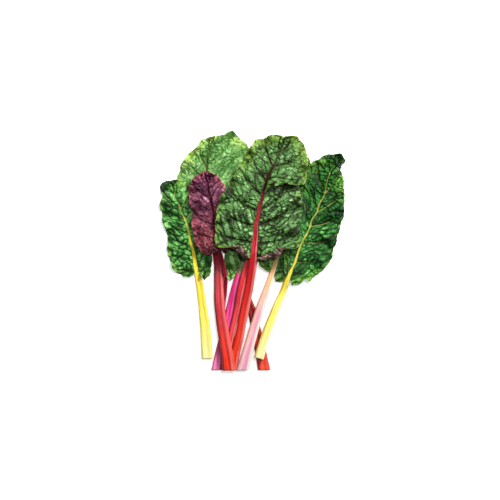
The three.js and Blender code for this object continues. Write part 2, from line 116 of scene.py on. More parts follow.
# The leaves from the lowest to the topmost, with the points and sizes of the solids, but for the left margin
# of the magenta blade and the roll of the centre leaf. Only the looks need step (mesh spacing), rough (relief
# at the base and the tip), plump, slim, sway, rib_edge (the stripe beside the midrib) and channel.
LEAVES = [
    dict(
        name="dark_red",
        petiole=[(17, -178, 0), (12, -152, 0), (6, -123, 0), (0, -94, 0), (-9, -69, 0), (-16, -44, 0)],
        midrib=[(-24, -10), (-30, 16), (-36, 44), (-41, 72), (-44, 100), (-46, 128)],
        left=[(-37, -9), (-51, 8), (-59, 33), (-63, 62), (-61, 92), (-55, 117), (-46, 129)],
        right=[(-13, -6), (-3, 14), (-3, 40), (-9, 70), (-19, 99), (-33, 120), (-46, 129)],
        width=(18, 9, 2), depth=(8.6, 5, 1.6), room=4.2, cut=CUT_LINE,
        ruffle=3, waves=5, phase=0.1, quilt=1, veins=5, cup=0, step=COARSE,
    ),
    dict(
        name="magenta",
        petiole=[(-55.5, -178, 0), (-50, -152, 0), (-44, -128, 0), (-39, -106, 0), (-34.5, -87, 2),
                 (-27.5, -58, 6.5)],
        midrib=[(-18, -24), (-12, 3), (-4, 33), (3, 64), (10, 96), (15, 128)],
        left=[(-27, -38), (-34, -44), (-40, -31), (-42, -10), (-38, 16), (-30, 46), (-21, 76), (-6, 106),
              (15, 130)],
        right=[(-9, -24), (8, -16), (23, 2), (32, 28), (35, 58), (32, 92), (15, 130)],
        width=(12, 9.5, 2), depth=(8, 5, 1.6), room=4.4, cut=CUT_LINE,
        ruffle=4, waves=5, phase=0.35, quilt=1.2, veins=6, cup=0, step=0.95, plump=1.07,
    ),
    dict(
        name="crimson",
        petiole=[(-43.6, -178, 0), (-38.6, -156, 0), (-33.8, -134, 0), (-28.9, -111, 2.4), (-23.4, -87, 6),
                 (-18, -57, 12.8)],
        midrib=[(-7, -16), (0, 8), (6, 34), (13, 63), (20, 92), (24, 116)],
        left=[(-19, -14), (-25, 3), (-22, 28), (-15, 57), (-4, 86), (9, 106), (24, 117)],
        right=[(8, -14), (27, -2), (41, 20), (48, 48), (47, 76), (38, 100), (24, 117)],
        width=(9.6, 9, 2), depth=(8, 5, 1.6), room=4.2, cut=CUT_LINE,
        ruffle=3, waves=5, phase=0.6, quilt=1, veins=5, cup=0, step=COARSE, plump=1.07,
    ),
    dict(
        name="pink",
        petiole=[(-15, -178, 4), (-6, -144, 9), (2, -116, 9.6), (7, -100, 9.6), (14, -77, 8)],
        midrib=[(29, -34), (36, -12), (44, 12), (52, 39), (60, 68), (69, 98), (84, 138)],
        left=[(17, -28), (8, -16), (11, 4), (18, 32), (27, 60), (39, 92), (56, 118), (72, 136), (84, 140)],
        right=[(34, -46), (47, -45), (56, -26), (66, 2), (77, 32), (84, 63), (90, 94), (90, 122),
               (84, 140)],
        width=(18, 9, 2), depth=(9, 5.5, 1.6), room=4.6, cut=CUT_LINE,
        ruffle=5, waves=6, phase=0.2, quilt=1.4, veins=6, cup=0, step=0.95,
    ),
    dict(
        name="red",
        petiole=[(-36, -178, 9.5), (-39, -152, 9.8), (-43, -128, 9.8), (-47, -102, 9), (-50, -76, 7.5),
                 (-51, -50, 3.5), (-52, -22, 0)],
        midrib=[(-57, 16), (-61, 42), (-65, 70), (-68, 99), (-69, 124), (-67, 146), (-57, 171)],
        left=[(-73, 12), (-88, 30), (-99, 56), (-108, 81), (-112, 105), (-109, 122), (-99, 142), (-82, 157),
              (-76, 166), (-57, 172)],
        right=[(-40, 12), (-22, 28), (-10, 56), (-4, 84), (-3, 118), (-5, 150), (-15, 165), (-30, 178),
               (-42, 175), (-57, 172)],
        width=(19, 11, 2), depth=(9, 6, 1.8), room=5.4, cut=CUT_LINE,
        ruffle=11, waves=6.5, phase=0.15, quilt=3, veins=7, cup=4, rough=(0.9, 0.75),
    ),
    dict(
        name="yellow_left",
        petiole=[(-68, -161, 0), (-70, -128, 0), (-74, -90, 0), (-79, -54, 0)],
        midrib=[(-83, -33), (-87, -15), (-91, 10), (-97, 34), (-104, 55), (-113, 75), (-121, 102)],
        left=[(-94, -39), (-108, -36), (-120, -24), (-127, 0), (-127, 22), (-133, 39), (-138, 69),
              (-135, 84), (-139, 96), (-132, 103), (-121, 105)],
        right=[(-72, -44), (-63, -32), (-61, -8), (-61, 16), (-67, 44), (-76, 68), (-87, 87), (-99, 102),
               (-111, 106), (-121, 105)],
        width=(17, 10, 2), depth=(9, 6, 1.8), room=5.4, cut=-161.0,
        channel=0.02, slim=0.72, sway=0.8, rib_edge=1.5,
        ruffle=12, waves=5.5, phase=0.55, quilt=3, veins=7, cup=4,
    ),
    dict(
        name="purple",
        petiole=[(-46, -96, 0), (-44, -78, 0), (-41, -58, 2), (-41, -39, 6.5), (-44.3, -20, 9.8)],
        midrib=[(-49, 0), (-55, 20), (-58, 39), (-60, 62), (-64, 82), (-72, 117)],
        left=[(-63, -6), (-76, -2), (-86, 15), (-90, 34), (-90, 56), (-95, 80), (-93, 98), (-84, 112),
              (-72, 119)],
        right=[(-37, 0), (-30, 18), (-28, 44), (-33, 70), (-41, 96), (-52, 110), (-63, 117), (-72, 119)],
        width=(7, 5.5, 1.6), depth=(5.5, 4, 1.4), room=5, cut=None,
        ruffle=9, waves=4.5, phase=0.8, quilt=2.6, veins=6, cup=3, rough=(0.5, 0.9),
    ),
    dict(
        name="yellow_right",
        petiole=[(9, -160, 8.8), (17, -132, 8.8), (25, -110, 7), (35, -85, 4), (45, -62, 1.5)],
        midrib=[(53, -40), (66, -8), (82, 30), (99, 67), (107, 86), (113, 106), (123, 140)],
        left=[(46, -28), (48, -2), (54, 28), (63, 62), (71, 92), (79, 116), (88, 131), (99, 138),
              (108, 143), (122, 145)],
        right=[(58, -51), (71, -49), (80, -40), (85, -45), (95, -36), (115, -16), (126, 20), (135, 51),
               (137, 84), (134, 114), (132, 126), (138, 135), (132, 144), (122, 145)],
        width=(14.5, 9.5, 2), depth=(8.8, 6, 1.8), room=5.4, cut=None,
        channel=0.04, slim=0.42, sway=1.0, rib_edge=1.1,
        ruffle=12, waves=6, phase=0.3, quilt=3, veins=7, cup=4,
    ),
    dict(
        name="centre",
        petiole=[(-30.5, -178, 0), (-26, -152, 1), (-20, -128, 4), (-15, -102, 7), (-10, -76, 9.5),
                 (-5, -52, 13)],
        midrib=[(1, -10), (3, 14), (6, 44), (13, 77), (18, 96), (26, 118), (36, 138), (48, 170)],
        left=[(-12, -12), (-28, -21), (-45, -8), (-55, 14), (-55, 33), (-51, 68), (-36, 99), (-15, 135),
              (-5, 152), (5, 166), (18, 169), (33, 174), (48, 171)],
        right=[(14, -14), (34, -26), (59, -16), (70, 16), (69, 40), (73, 62), (69, 92), (53, 111), (22, 95),
               (47, 100), (75, 99), (81, 124), (79, 152), (67, 170), (48, 171)],
        width=(14.5, 12.5, 2), depth=(8.6, 7, 1.8), room=6, cut=CUT_LINE,
        ruffle=11, waves=7, phase=0.05, quilt=3.4, veins=8, cup=5,
        curl=dict(until=0.215, turn=3.9), fold="right", step=0.86, rough=(1.0, 0.6),
    ),
]


def smooth(share):
    share = np.clip(share, 0.0, 1.0)
    return share * share * (3 - 2 * share)


def mix(a, b, share):
    return a + (b - a) * share


def curve_through(corners, samples):
    """Samples of a smooth curve from the second corner up to the last but one, without that one itself."""
    share = (np.arange(samples) / samples)[:, None]
    spans = []
    for before, a, b, after in zip(corners, corners[1:], corners[2:], corners[3:]):
        leave, arrive = (b - before) / 2, (after - a) / 2
        spans.append(a + leave * share + (3 * (b - a) - 2 * leave - arrive) * share**2
                     + (2 * (a - b) + leave + arrive) * share**3)
    return np.vstack(spans)


def trace_path(points):
    """A smooth line through given points, never below the surface, and its length at each sample."""
    corners = np.array([(*p, 0.0)[:3] for p in points], float)
    corners = np.vstack([2 * corners[0] - corners[1], corners, 2 * corners[-1] - corners[-2]])
    samples = np.vstack([curve_through(corners, SAMPLES_PER_SPAN), corners[-2]])
    samples[:, 2] = np.maximum(samples[:, 2], 0)
    steps = np.linalg.norm(np.diff(samples, axis=0), axis=1)
    return dict(samples=samples, run=np.concatenate([[0.0], np.cumsum(steps)]))


def point_along(path, length):
    return np.stack([np.interp(length, path["run"], path["samples"][:, k]) for k in range(3)], axis=-1)


def right_of(path, length):
    """The unit vector in plan that points to the right of a path."""
    ahead = point_along(path, length + 1) - point_along(path, length - 1)
    right = np.stack([ahead[..., 1], -ahead[..., 0], np.zeros_like(ahead[..., 0])], axis=-1)
    return right / np.linalg.norm(right, axis=-1, keepdims=True)


def taper(leaf, measures, length):
    """Width or depth of a stalk at a length along it, from its three measures."""
    total = leaf["spine"]["run"][-1]
    stalk = mix(measures[0], measures[1], length / leaf["base_at"])
    share = np.clip((length - leaf["base_at"]) / (total - leaf["base_at"]), 0, 1)
    rib = mix(measures[1], measures[2], 1 - (1 - share) ** RIB_TAPER)
    return np.where(length < leaf["base_at"], stalk, rib)


def beside(start, end, x, y):
    """The nearest place on a straight piece to each point in plan, as a share of it, and how far that is."""
    (ax, ay), (bx, by) = start[:2], end[:2]
    dx, dy = bx - ax, by - ay
    share = np.clip(((x - ax) * dx + (y - ay) * dy) / (dx * dx + dy * dy or 1), 0, 1)
    return share, np.hypot(x - ax - share * dx, y - ay - share * dy)


def distance_outside(outline, x, y):
    """Distance in plan from points to the outside of an outline, 0 within it."""
    inside = np.zeros(x.shape, bool)
    nearest = np.full(x.shape, np.inf)
    for start, end in zip(outline, np.roll(outline, -1, axis=0)):
        (ax, ay), (bx, by) = start[:2], end[:2]
        if ay != by:
            inside ^= ((ay > y) != (by > y)) & (x < ax + (bx - ax) * (y - ay) / (by - ay))
        nearest = np.minimum(nearest, beside(start, end, x, y)[1])
    return np.where(inside, 0, nearest)


def cover_of(leaf, x, y):
    """How much of a blade's own height the pile has here, from 0 to 1."""
    return smooth(1 - (distance_outside(leaf["outline"], x, y) - OVERHANG) / DRAPE)


def crest_of(leaf, x, y):
    """The top of a leaf's stalk nearest to each place, and how near it is."""
    best = np.full(x.shape, np.inf)
    at, under = np.zeros(x.shape), np.zeros(x.shape)
    samples, run = leaf["spine"]["samples"], leaf["spine"]["run"]
    for start, end, start_run, end_run in zip(samples, samples[1:], run, run[1:]):
        share, distance = beside(start, end, x, y)
        nearer = distance < best
        best = np.where(nearer, distance, best)
        at = np.where(nearer, mix(start_run, end_run, share), at)
        under = np.where(nearer, mix(start[2], end[2], share), under)
    side = best - taper(leaf, leaf["width"], at) / 2
    return under + taper(leaf, leaf["depth"], at), smooth(1 - (side - 1) / CREST_EASE)


def heap(height, leaf, x, y):
    """Height of the pile once a leaf lies on it."""
    top, near = crest_of(leaf, x, y)
    blade_top = height + leaf["room"] * cover_of(leaf, x, y)
    return blade_top + np.maximum(0, top - blade_top) * near


# The pile's height and the leaves' cover are worked out once on a plan grid, and read between its points
GRID_STEP = 3.0
GRID_X = np.arange(-174.0, 175.0, GRID_STEP)
GRID_Y = np.arange(-204.0, 205.0, GRID_STEP)


def read_grid(values, x, y):
    """Smooth reading of a plan grid at any place."""
    total = np.zeros(x.shape)
    fx, fy = (x - GRID_X[0]) / GRID_STEP, (y - GRID_Y[0]) / GRID_STEP
    ix, iy = np.floor(fx).astype(int), np.floor(fy).astype(int)

    def weights(f):
        return [-0.5 * f + f**2 - 0.5 * f**3, 1 - 2.5 * f**2 + 1.5 * f**3,
                0.5 * f + 2 * f**2 - 1.5 * f**3, -0.5 * f**2 + 0.5 * f**3]

    for j, wy in enumerate(weights(fy - iy)):
        row = np.clip(iy + j - 1, 0, len(GRID_Y) - 1)
        for i, wx in enumerate(weights(fx - ix)):
            total += wy * wx * values[row, np.clip(ix + i - 1, 0, len(GRID_X) - 1)]
    return total


def lay_out():
    """Settles each leaf's outline, its stalk's line and the pile that it lies on."""
    plan_x, plan_y = np.meshgrid(GRID_X, GRID_Y)
    height = np.zeros(plan_x.shape)
    for order, leaf in enumerate(LEAVES):
        leaf["margins"] = {side: trace_path(leaf[side]) for side in ("left", "right")}
        left, right = (leaf["margins"][side]["samples"] for side in ("left", "right"))
        leaf["outline"] = np.vstack([left, right[:-1][::-1]])[::4]
        rib = []
        for x, y in leaf["midrib"]:
            at = np.zeros(1)
            for lower in LEAVES[:order]:
                at = heap(at, lower, np.array([float(x)]), np.array([float(y)]))
            rib.append((x, y, at[0] + STALK_LIFT))
        leaf["spine"] = trace_path([*leaf["petiole"], *rib])
        leaf["base_at"] = leaf["spine"]["run"][len(leaf["petiole"]) * SAMPLES_PER_SPAN]
        leaf["pile"] = height.copy()
        leaf["cover"] = cover_of(leaf, plan_x, plan_y)
        height = heap(height, leaf, plan_x, plan_y)
    free = np.ones(plan_x.shape)
    for leaf in reversed(LEAVES):
        leaf["free"] = free
        free = free * (1 - leaf["cover"])


# Fine relief


def scatter(i, j, seed):
    """Two even random numbers for each whole-numbered cell, always the same ones."""
    a = np.sin(i * 127.1 + j * 311.7 + seed * 74.7) * 43758.5453
    b = np.sin(i * 269.5 + j * 183.3 + seed * 51.3) * 28001.8384
    return a - np.floor(a), b - np.floor(b)


def cells(x, y, seed):
    """Irregular cells: how much nearer each place is to its own cell's middle than to the next one's, and a
    number of its own for each cell."""
    ix, iy = np.floor(x), np.floor(y)
    first, second, own = np.full(x.shape, 9.0), np.full(x.shape, 9.0), np.zeros(x.shape)
    for dx in (-1, 0, 1):
        for dy in (-1, 0, 1):
            rx, ry = scatter(ix + dx, iy + dy, seed)
            distance = np.hypot(ix + dx + rx - x, iy + dy + ry - y)
            nearer = distance < first
            second = np.where(nearer, first, np.minimum(second, distance))
            own = np.where(nearer, rx, own)
            first = np.where(nearer, distance, first)
    return second - first, own


def waver(x, y, reach, seed):
    """Smooth variation between -1 and 1, slower over a longer reach."""
    x, y = x / reach, y / reach
    rows = np.sin(x * 1.3 + 2.1 * np.sin(y * 0.7 + seed))
    columns = np.sin(y * 1.1 + 1.7 * np.sin(x * 0.9 + 2 * seed))
    return (rows + columns) / 2


def puff(share):
    """A swollen profile: steep beside the valley, level on top."""
    share = np.clip(share, 0.0, 1.0)
    return 1 - (1 - share) ** 2.2


def blisters(leaf, sign, u, v, across, plan):
    """Crinkles between the veins, in millimetres, and the masks that colour them."""
    seed = leaf["phase"] * 100 + (3 if sign > 0 else 0)
    length, side = plan[..., 0], sign * plan[..., 1]

    def vary(reach, more):
        return waver(length, side, reach, seed + more)

    (slow, slow_reach), (quick, quick_reach) = DRIFT
    drift = slow * vary(slow_reach, 0) + quick * vary(quick_reach, 9)
    slanted = length - CRINKLE_SLANT * side + drift
    lead, own = cells(slanted / BLISTER[0], (side + drift) / BLISTER[1], seed)
    dome = puff(lead / np.maximum(VALLEY[0] + VALLEY[1] * vary(9, 4), 0.25))
    small_lead, small_own = cells(slanted / PUCKER[0] + 7, (side - drift) / PUCKER[1], seed + 5)
    small = puff(small_lead / (FINE_VALLEY[0] + FINE_VALLEY[1] * vary(7, 6)))
    rough = mix(*leaf.get("rough", (1.0, 1.0)), smooth((u - 0.35) / 0.4))
    span = np.abs(np.sin(math.pi * leaf["veins"] * (u - VEIN_SLANT * v) + 0.25 * vary(15, 2)))
    vein = smooth(1 - span / mix(*VEIN_WIDTH, v)) * smooth((0.92 - v) / 0.4)
    tall = BLISTER_RISE * rough * (0.45 + 0.9 * own) * dome + PUCKER_RISE * (0.4 + 0.9 * small_own) * small
    height = smooth(across / FLAT_BY_RIB) * (tall * (1 - 0.6 * vein) - VEIN_SINK * vein)
    # swell and valley are masks for painted light: painted shade between the blisters, painted highlight on
    # their tops, painted shade along the side veins
    swell = 0.6 + rough * (dome * (0.62 + 0.38 * own) - 0.6)
    return height, dict(dome=swell, small=small, vein=vein, valley=(1 - smooth(span / 0.5)) * rough)


def free_relief(leaf, sign, u, v):
    """The large waves and the quilting that the solids have too, in millimetres."""
    turn = 2 * math.pi * (leaf["waves"] * u + leaf["phase"] + 0.31 * sign)
    wave = 0.75 * np.sin(turn) + 0.25 * np.sin(2.3 * turn + 1)
    span = np.abs(np.sin(math.pi * leaf["veins"] * (u - VEIN_SLANT * v)))
    quilting = span * np.sin(math.pi * v**0.7) * smooth(v / 0.12)
    frill = FRILL * np.sin(3.7 * turn + 4 * np.sin(1.3 * turn)) * v**7
    waving = (leaf["ruffle"] * wave * v**2.2 + frill + leaf["cup"] * v * v) * smooth(v / 0.3)
    return waving * smooth(u / 0.08) + leaf["quilt"] * quilting


def squeeze(rise, limit):
    return limit * np.tanh(rise / limit)


def blade_height(leaf, sign, u, v, x, y, crinkle):
    """Height of a blade's middle layer: the pile, its midrib's flank, and relief as far as there is room."""
    level = read_grid(leaf["pile"], x, y) + leaf["room"] / 2
    top, near = crest_of(leaf, x, y)
    sunk = mix(*RIB_SINK, smooth((u - 0.08) / 0.4))
    shoulder = np.maximum(0, top - sunk - level) * near
    free = np.clip(read_grid(leaf["free"], x, y), 0, 1)
    slack = leaf["room"] / 2 - BLADE_THICKNESS / 2 - CLEARANCE
    rise = free_relief(leaf, sign, u, v) + crinkle
    up, down = squeeze(rise, mix(slack, FREE_RISE, free)), squeeze(rise, slack)
    return level + shoulder + np.where(rise > 0, up, down)


def scallops(leaf, sign, run):
    """How far the margin stands out of its plain line, in lobes and small notches."""
    start = leaf["phase"] * 9 + sign
    lobes = np.abs(np.sin(math.pi * run / SCALLOP[0] + start + 0.5 * np.sin(run / 19))) - 0.55
    notches = np.abs(np.sin(math.pi * run / NOTCH[0] + 1.9 * np.sin(run / 13 + start))) - 0.5
    return SCALLOP[1] * lobes + NOTCH[1] * notches


def rib_end(leaf):
    return leaf["base_at"] + MIDRIB_END * (leaf["spine"]["run"][-1] - leaf["base_at"])


def slimming(leaf, at):
    """The share of the solid's width that a midrib keeps here, as the blade puffs up over both its flanks."""
    slim = leaf.get("slim", 1.0)
    uneven = 1 + 0.45 * (1 - slim) * np.sin(at / 4.2 + 2 * np.sin(at / 11))
    kept = mix(1.0, slim * uneven, smooth((at - leaf["base_at"] + 20) / 50))
    return kept * mix(0.3, 1, smooth((rib_end(leaf) - at) / RIB_FADE))


def swaying(leaf, at):
    """How far a midrib lies to the right of its smooth line here."""
    grown = smooth((at - leaf["base_at"]) / 40) * smooth((leaf["spine"]["run"][-1] - at) / 25)
    return leaf.get("sway", SWAY) * np.sin(at / 6 + 1.5 * np.sin(at / 19)) * grown


def along_rib(leaf, plan):
    """Places in plan as lengths along the blade's middle line and to its right."""
    base, tip = point_along(leaf["spine"], np.array([leaf["base_at"], leaf["spine"]["run"][-1]]))[:, :2]
    ahead = (tip - base) / np.linalg.norm(tip - base)
    offset = plan[..., :2] - base
    return np.stack([offset @ ahead, offset @ np.array([ahead[1], -ahead[0]])], axis=-1)


# Blades


def row_ends(leaf, side, u):
    """Where a blade's rows start in plan, under the midrib's flank, and end, on the lobed margin."""
    sign = SIGNS[side]
    spine, margin = leaf["spine"], leaf["margins"][side]
    at = leaf["base_at"] + u * (spine["run"][-1] - leaf["base_at"])
    slot = SLOT_SHARE * taper(leaf, leaf["width"], at) * slimming(leaf, at)
    slot = sign * slot * smooth((MIDRIB_END - u) / SLOT_CLOSE)
    inner = point_along(spine, at) + (slot + swaying(leaf, at))[:, None] * right_of(spine, at)
    run = u * margin["run"][-1]
    stand = sign * scallops(leaf, sign, run) * smooth(u / LOBE_EASE[0]) * smooth((1 - u) / LOBE_EASE[1])
    outer = point_along(margin, run) + stand[:, None] * right_of(margin, run)
    inner[:, 2] = outer[:, 2] = 0
    return inner, outer


def roll_up(leaf, sign, u, share, width):
    """The roll of a base margin: how far out each column lies flat, its angle on the roll, and the radius."""
    curl = leaf.get("curl")
    turn = curl["turn"] * smooth((curl["until"] - u) / CURL_EASE) if curl else np.zeros(len(u))
    turn = (turn * (1 + 0.06 * np.sin(u * 70 + sign)))[:, None]
    band = np.where(turn > 0, np.minimum(CURL_BAND, CURL_SHARE * width), 0)
    flat = np.where(turn > 0, np.minimum(share / CURL_COLUMNS, 1) * (1 - band / width), share)
    angle = turn * np.clip((share - CURL_COLUMNS) / (1 - CURL_COLUMNS), 0, 1)
    return flat, angle, band / np.maximum(turn, 0.001)


def lie_open(u):
    """A blade without a fold: no lift or painted shade, a band of painted sunlight at its base and tip, a
    pale rim all round.
    """
    until, ease, strength = SUN_FOOT
    sunny = smooth((u - SUN_START[0]) / SUN_START[1]) + strength * smooth((until - u) / ease)
    return dict(lift=0.0, shade=np.zeros(u.shape), sunny=sunny, rim=np.ones(u.shape))


def fold_over(u, width, plan, flat, across):
    """The lobe above a blade's notch that folds over it: its lift, the painted shade under it, its band of
    painted sunlight and pale rim.
    """
    third, most = len(u) // 3, int(len(u) * 0.9)
    notch = u[third + np.argmin(width[third:most]), 0]
    lobe = smooth((u - notch) / FOLD_START) * smooth((notch + FOLD_LENGTH - u) / FOLD_LENGTH)
    below = smooth((plan[..., 1] - FOLD_SHADE[0]) / (FOLD_SHADE[1] - FOLD_SHADE[0]))
    return dict(
        lift=FOLD_LIFT * lobe * smooth(flat / 0.4),
        shade=np.where(u < notch, below * smooth(across / 14), 0),
        sunny=smooth((u - notch - 0.12) / 0.12),
        rim=mix(0.2, 1.0, smooth((u - notch + 0.03) / 0.03)),
    )


def blade_half(leaf, side):
    """One half of a blade as a grid of points from the midrib to the margin, with its masks."""
    sign = SIGNS[side]
    step = leaf.get("step", FINE)
    length = leaf["spine"]["run"][-1] - leaf["base_at"]
    longest = max(margin["run"][-1] for margin in leaf["margins"].values())
    rows = np.linspace(0, 1, int(max(length, MARGIN_SHARE * longest) / step))
    inner, outer = row_ends(leaf, side, rows)
    width = np.hypot(*(outer - inner).T[:2])[:, None]
    share = np.linspace(0, 1, int(width.max() / step))[None, :]
    flat, angle, radius = roll_up(leaf, sign, rows, share, width)
    u = np.broadcast_to(rows[:, None], flat.shape)
    across = flat * width + radius * angle
    v = across / width
    ahead = ((outer - inner) / width)[:, None]
    plan = inner[:, None] + (flat * width)[..., None] * ahead
    unrolled = along_rib(leaf, inner[:, None] + across[..., None] * ahead)
    crinkle, masks = blisters(leaf, sign, u, v, across, unrolled)
    crinkle = crinkle * mix(1.0, 0.8, smooth(angle / 0.6))
    fold = fold_over(u, width, plan, flat, across) if side == leaf.get("fold") else lie_open(u)
    points = plan + ((radius - crinkle) * np.sin(angle))[..., None] * ahead
    lift = crinkle * np.cos(angle) + fold["lift"]
    height = blade_height(leaf, sign, u, flat, plan[..., 0], plan[..., 1], lift)
    points[..., 2] = height + radius * (1 - np.cos(angle))
    inward = (1 - v) * width
    masks.update(
        shade=fold["shade"],
        margin=smooth(1 - inward / EDGE_BAND),
        rim=smooth(1 - inward / RIM_BAND) * fold["rim"],
        rib=smooth(1 - across / leaf.get("rib_edge", RIB_EDGE)) * mix(0.7, 1.0, smooth(u / 0.5)),
        off=across / 100,
        sun=smooth(1 - inward / SUN_BAND) * fold["sunny"],
        along=u,
        under=smooth((angle - 1.2) / 0.8),
    )
    place = np.concatenate([unrolled, np.full((*flat.shape, 1), leaf["phase"] * 50)], axis=-1)
    return points, masks, place


def join_halves(halves):
    """Joins grids of points into one surface, with the points that coincide merged."""
    points = np.vstack([p.reshape(-1, 3) for p, _, _ in halves])
    place = np.vstack([c.reshape(-1, 3) for _, _, c in halves])
    masks = {key: np.concatenate([m[key].ravel() for _, m, _ in halves]) for key in halves[0][1]}
    quads, first = [], 0
    for (grid, _, _), facing in zip(halves, (1, -1)):
        rows, columns = grid.shape[:2]
        number = first + np.arange(rows * columns).reshape(rows, columns)
        corners = [number[:-1, :-1], number[1:, :-1], number[1:, 1:], number[:-1, 1:]]
        quads.append(np.stack(corners if facing > 0 else corners[::-1], axis=-1).reshape(-1, 4))
        first += rows * columns
    _, kept, merged = np.unique(np.round(points, 2), axis=0, return_index=True, return_inverse=True)
    merged = merged.ravel()
    quads = merged[np.vstack(quads)]
    triangles = np.vstack([quads[:, [0, 1, 2]], quads[:, [0, 2, 3]]])
    a, b, c = triangles.T
    whole = (a != b) & (b != c) & (c != a)
    return points[kept], triangles[whole], {k: m[kept] for k, m in masks.items()}, place[kept]


def vertex_normals(points, triangles):
    a, b, c = (points[triangles[:, k]] for k in range(3))
    face = np.cross(b - a, c - a)
    normals = np.zeros_like(points)
    for k in range(3):
        np.add.at(normals, triangles[:, k], face)
    return normals / np.maximum(np.linalg.norm(normals, axis=1, keepdims=True), 1e-9)


def thicken(points, triangles, thickness):
    """Gives a surface its thickness: two faces split alike, and walls that close its edges."""
    normals = vertex_normals(points, triangles)
    count = len(points)
    edges = np.vstack([triangles[:, [0, 1]], triangles[:, [1, 2]], triangles[:, [2, 0]]])
    keys = edges[:, 0] * count + edges[:, 1]
    rim = edges[~np.isin(edges[:, 1] * count + edges[:, 0], keys)]
    walls = np.vstack([np.stack([rim[:, 0], rim[:, 0] + count, rim[:, 1] + count], axis=1),
                       np.stack([rim[:, 0], rim[:, 1] + count, rim[:, 1]], axis=1)])
    faces = np.vstack([triangles, triangles[:, ::-1] + count, walls])
    half = normals * thickness / 2
    return np.vstack([points + half, points - half]), faces


def make_object(name, points, faces, masks, place, material):
    """A piece from its points, the corners of its faces, its named masks and the places for its textures."""
    mesh = bpy.data.meshes.new(name)
    mesh.from_pydata(((points + PLACE) * MM).tolist(), [], faces)
    mesh.polygons.foreach_set("use_smooth", np.ones(len(faces), bool))
    for key, values in masks.items():
        attribute = mesh.attributes.new(key, "FLOAT", "POINT")
        attribute.data.foreach_set("value", values.astype(np.float32))
    attribute = mesh.attributes.new("place", "FLOAT_VECTOR", "POINT")
    attribute.data.foreach_set("vector", (place * MM).astype(np.float32).ravel())
    mesh.update()
    mesh.materials.append(material)
    thing = bpy.data.objects.new(name, mesh)
    bpy.context.scene.collection.objects.link(thing)
    return thing


def make_blade(leaf, material):
    points, triangles, masks, place = join_halves([blade_half(leaf, "left"), blade_half(leaf, "right")])
    solid, faces = thicken(points, triangles, SKIN_THICKNESS)
    masks = {key: np.tile(values, 2) for key, values in masks.items()}
    masks["back"] = np.repeat([0.0, 1.0], len(points))
    return make_object(f"{leaf['name']}_leaf", solid, faces.tolist(), masks, np.tile(place, (2, 1)), material)


# Stalks


def section_ring():
    """The stalk's section as a smooth closed line of (across, up) shares."""
    return curve_through(np.array([SECTION[-1], *SECTION, *SECTION[:2]], float), SIDES_PER_SPAN)


def stalk_rings(leaf, at, ring):
    """A stalk's skin as rings of points, with the direction ahead and the half width at each."""
    across, up = ring.T
    seed = leaf["phase"] * 10
    upper = smooth((up - 0.6) / 0.3)
    ridges = np.abs(np.sin(RIDGES * np.arctan2(up - 0.5, across) + seed)) - 0.5
    ribbing = 1 + RIDGE * ridges * (1 - 0.4 * upper) * smooth(up / 0.2)
    channel = -leaf.get("channel", CHANNEL) * np.exp(-((across / 0.3) ** 2)) * upper
    right = right_of(leaf["spine"], at)
    ahead = np.stack([-right[:, 1], right[:, 0], np.zeros(len(at))], axis=-1)
    middle = point_along(leaf["spine"], at) + swaying(leaf, at)[:, None] * right
    half = taper(leaf, leaf["width"], at) / 2 * slimming(leaf, at) * leaf.get("plump", 1.0)
    depth = taper(leaf, leaf["depth"], at) * mix(0.15, 1, smooth((rib_end(leaf) - at) / RIB_FADE))
    (big, big_reach), (small, small_reach) = LUMPS
    lump = 1 + big * np.sin(at / big_reach + seed) + small * np.sin(at / small_reach + 2 * seed)
    points = middle[:, None] + (half * lump)[:, None, None] * (across * ribbing)[:, None] * right[:, None]
    points[..., 2] += (depth * lump)[:, None] * (up * ribbing + channel)
    if leaf["cut"] is not None:
        reach = (leaf["cut"] - points[0, :, 1]) / ahead[0, 1]
        points += (smooth(1 - at / CUT_EASE)[:, None] * reach)[..., None] * ahead[:, None]
    return points, ahead, half


def close_end(rim, numbers, first, ahead, facing):
    """Rings from a cut end's rim to its middle: each one's share of the rim and points, and the faces."""
    centre = rim.mean(axis=0)
    rings, faces = [], []
    for share in CAP_SHARES:
        ring = centre + share * (rim - centre) if share else centre[None, :]
        rings.append((share, ring + CAP_DISH * (1 - share) * ahead * -facing))
        inner = first + np.arange(len(rim)) if share else np.full(len(rim), first)
        loop = [numbers, np.roll(numbers, -1), np.roll(inner, -1), inner]
        faces.append(np.stack(loop[::-1] if facing > 0 else loop, axis=-1))
        numbers, first = inner, first + len(ring)
    return rings, faces


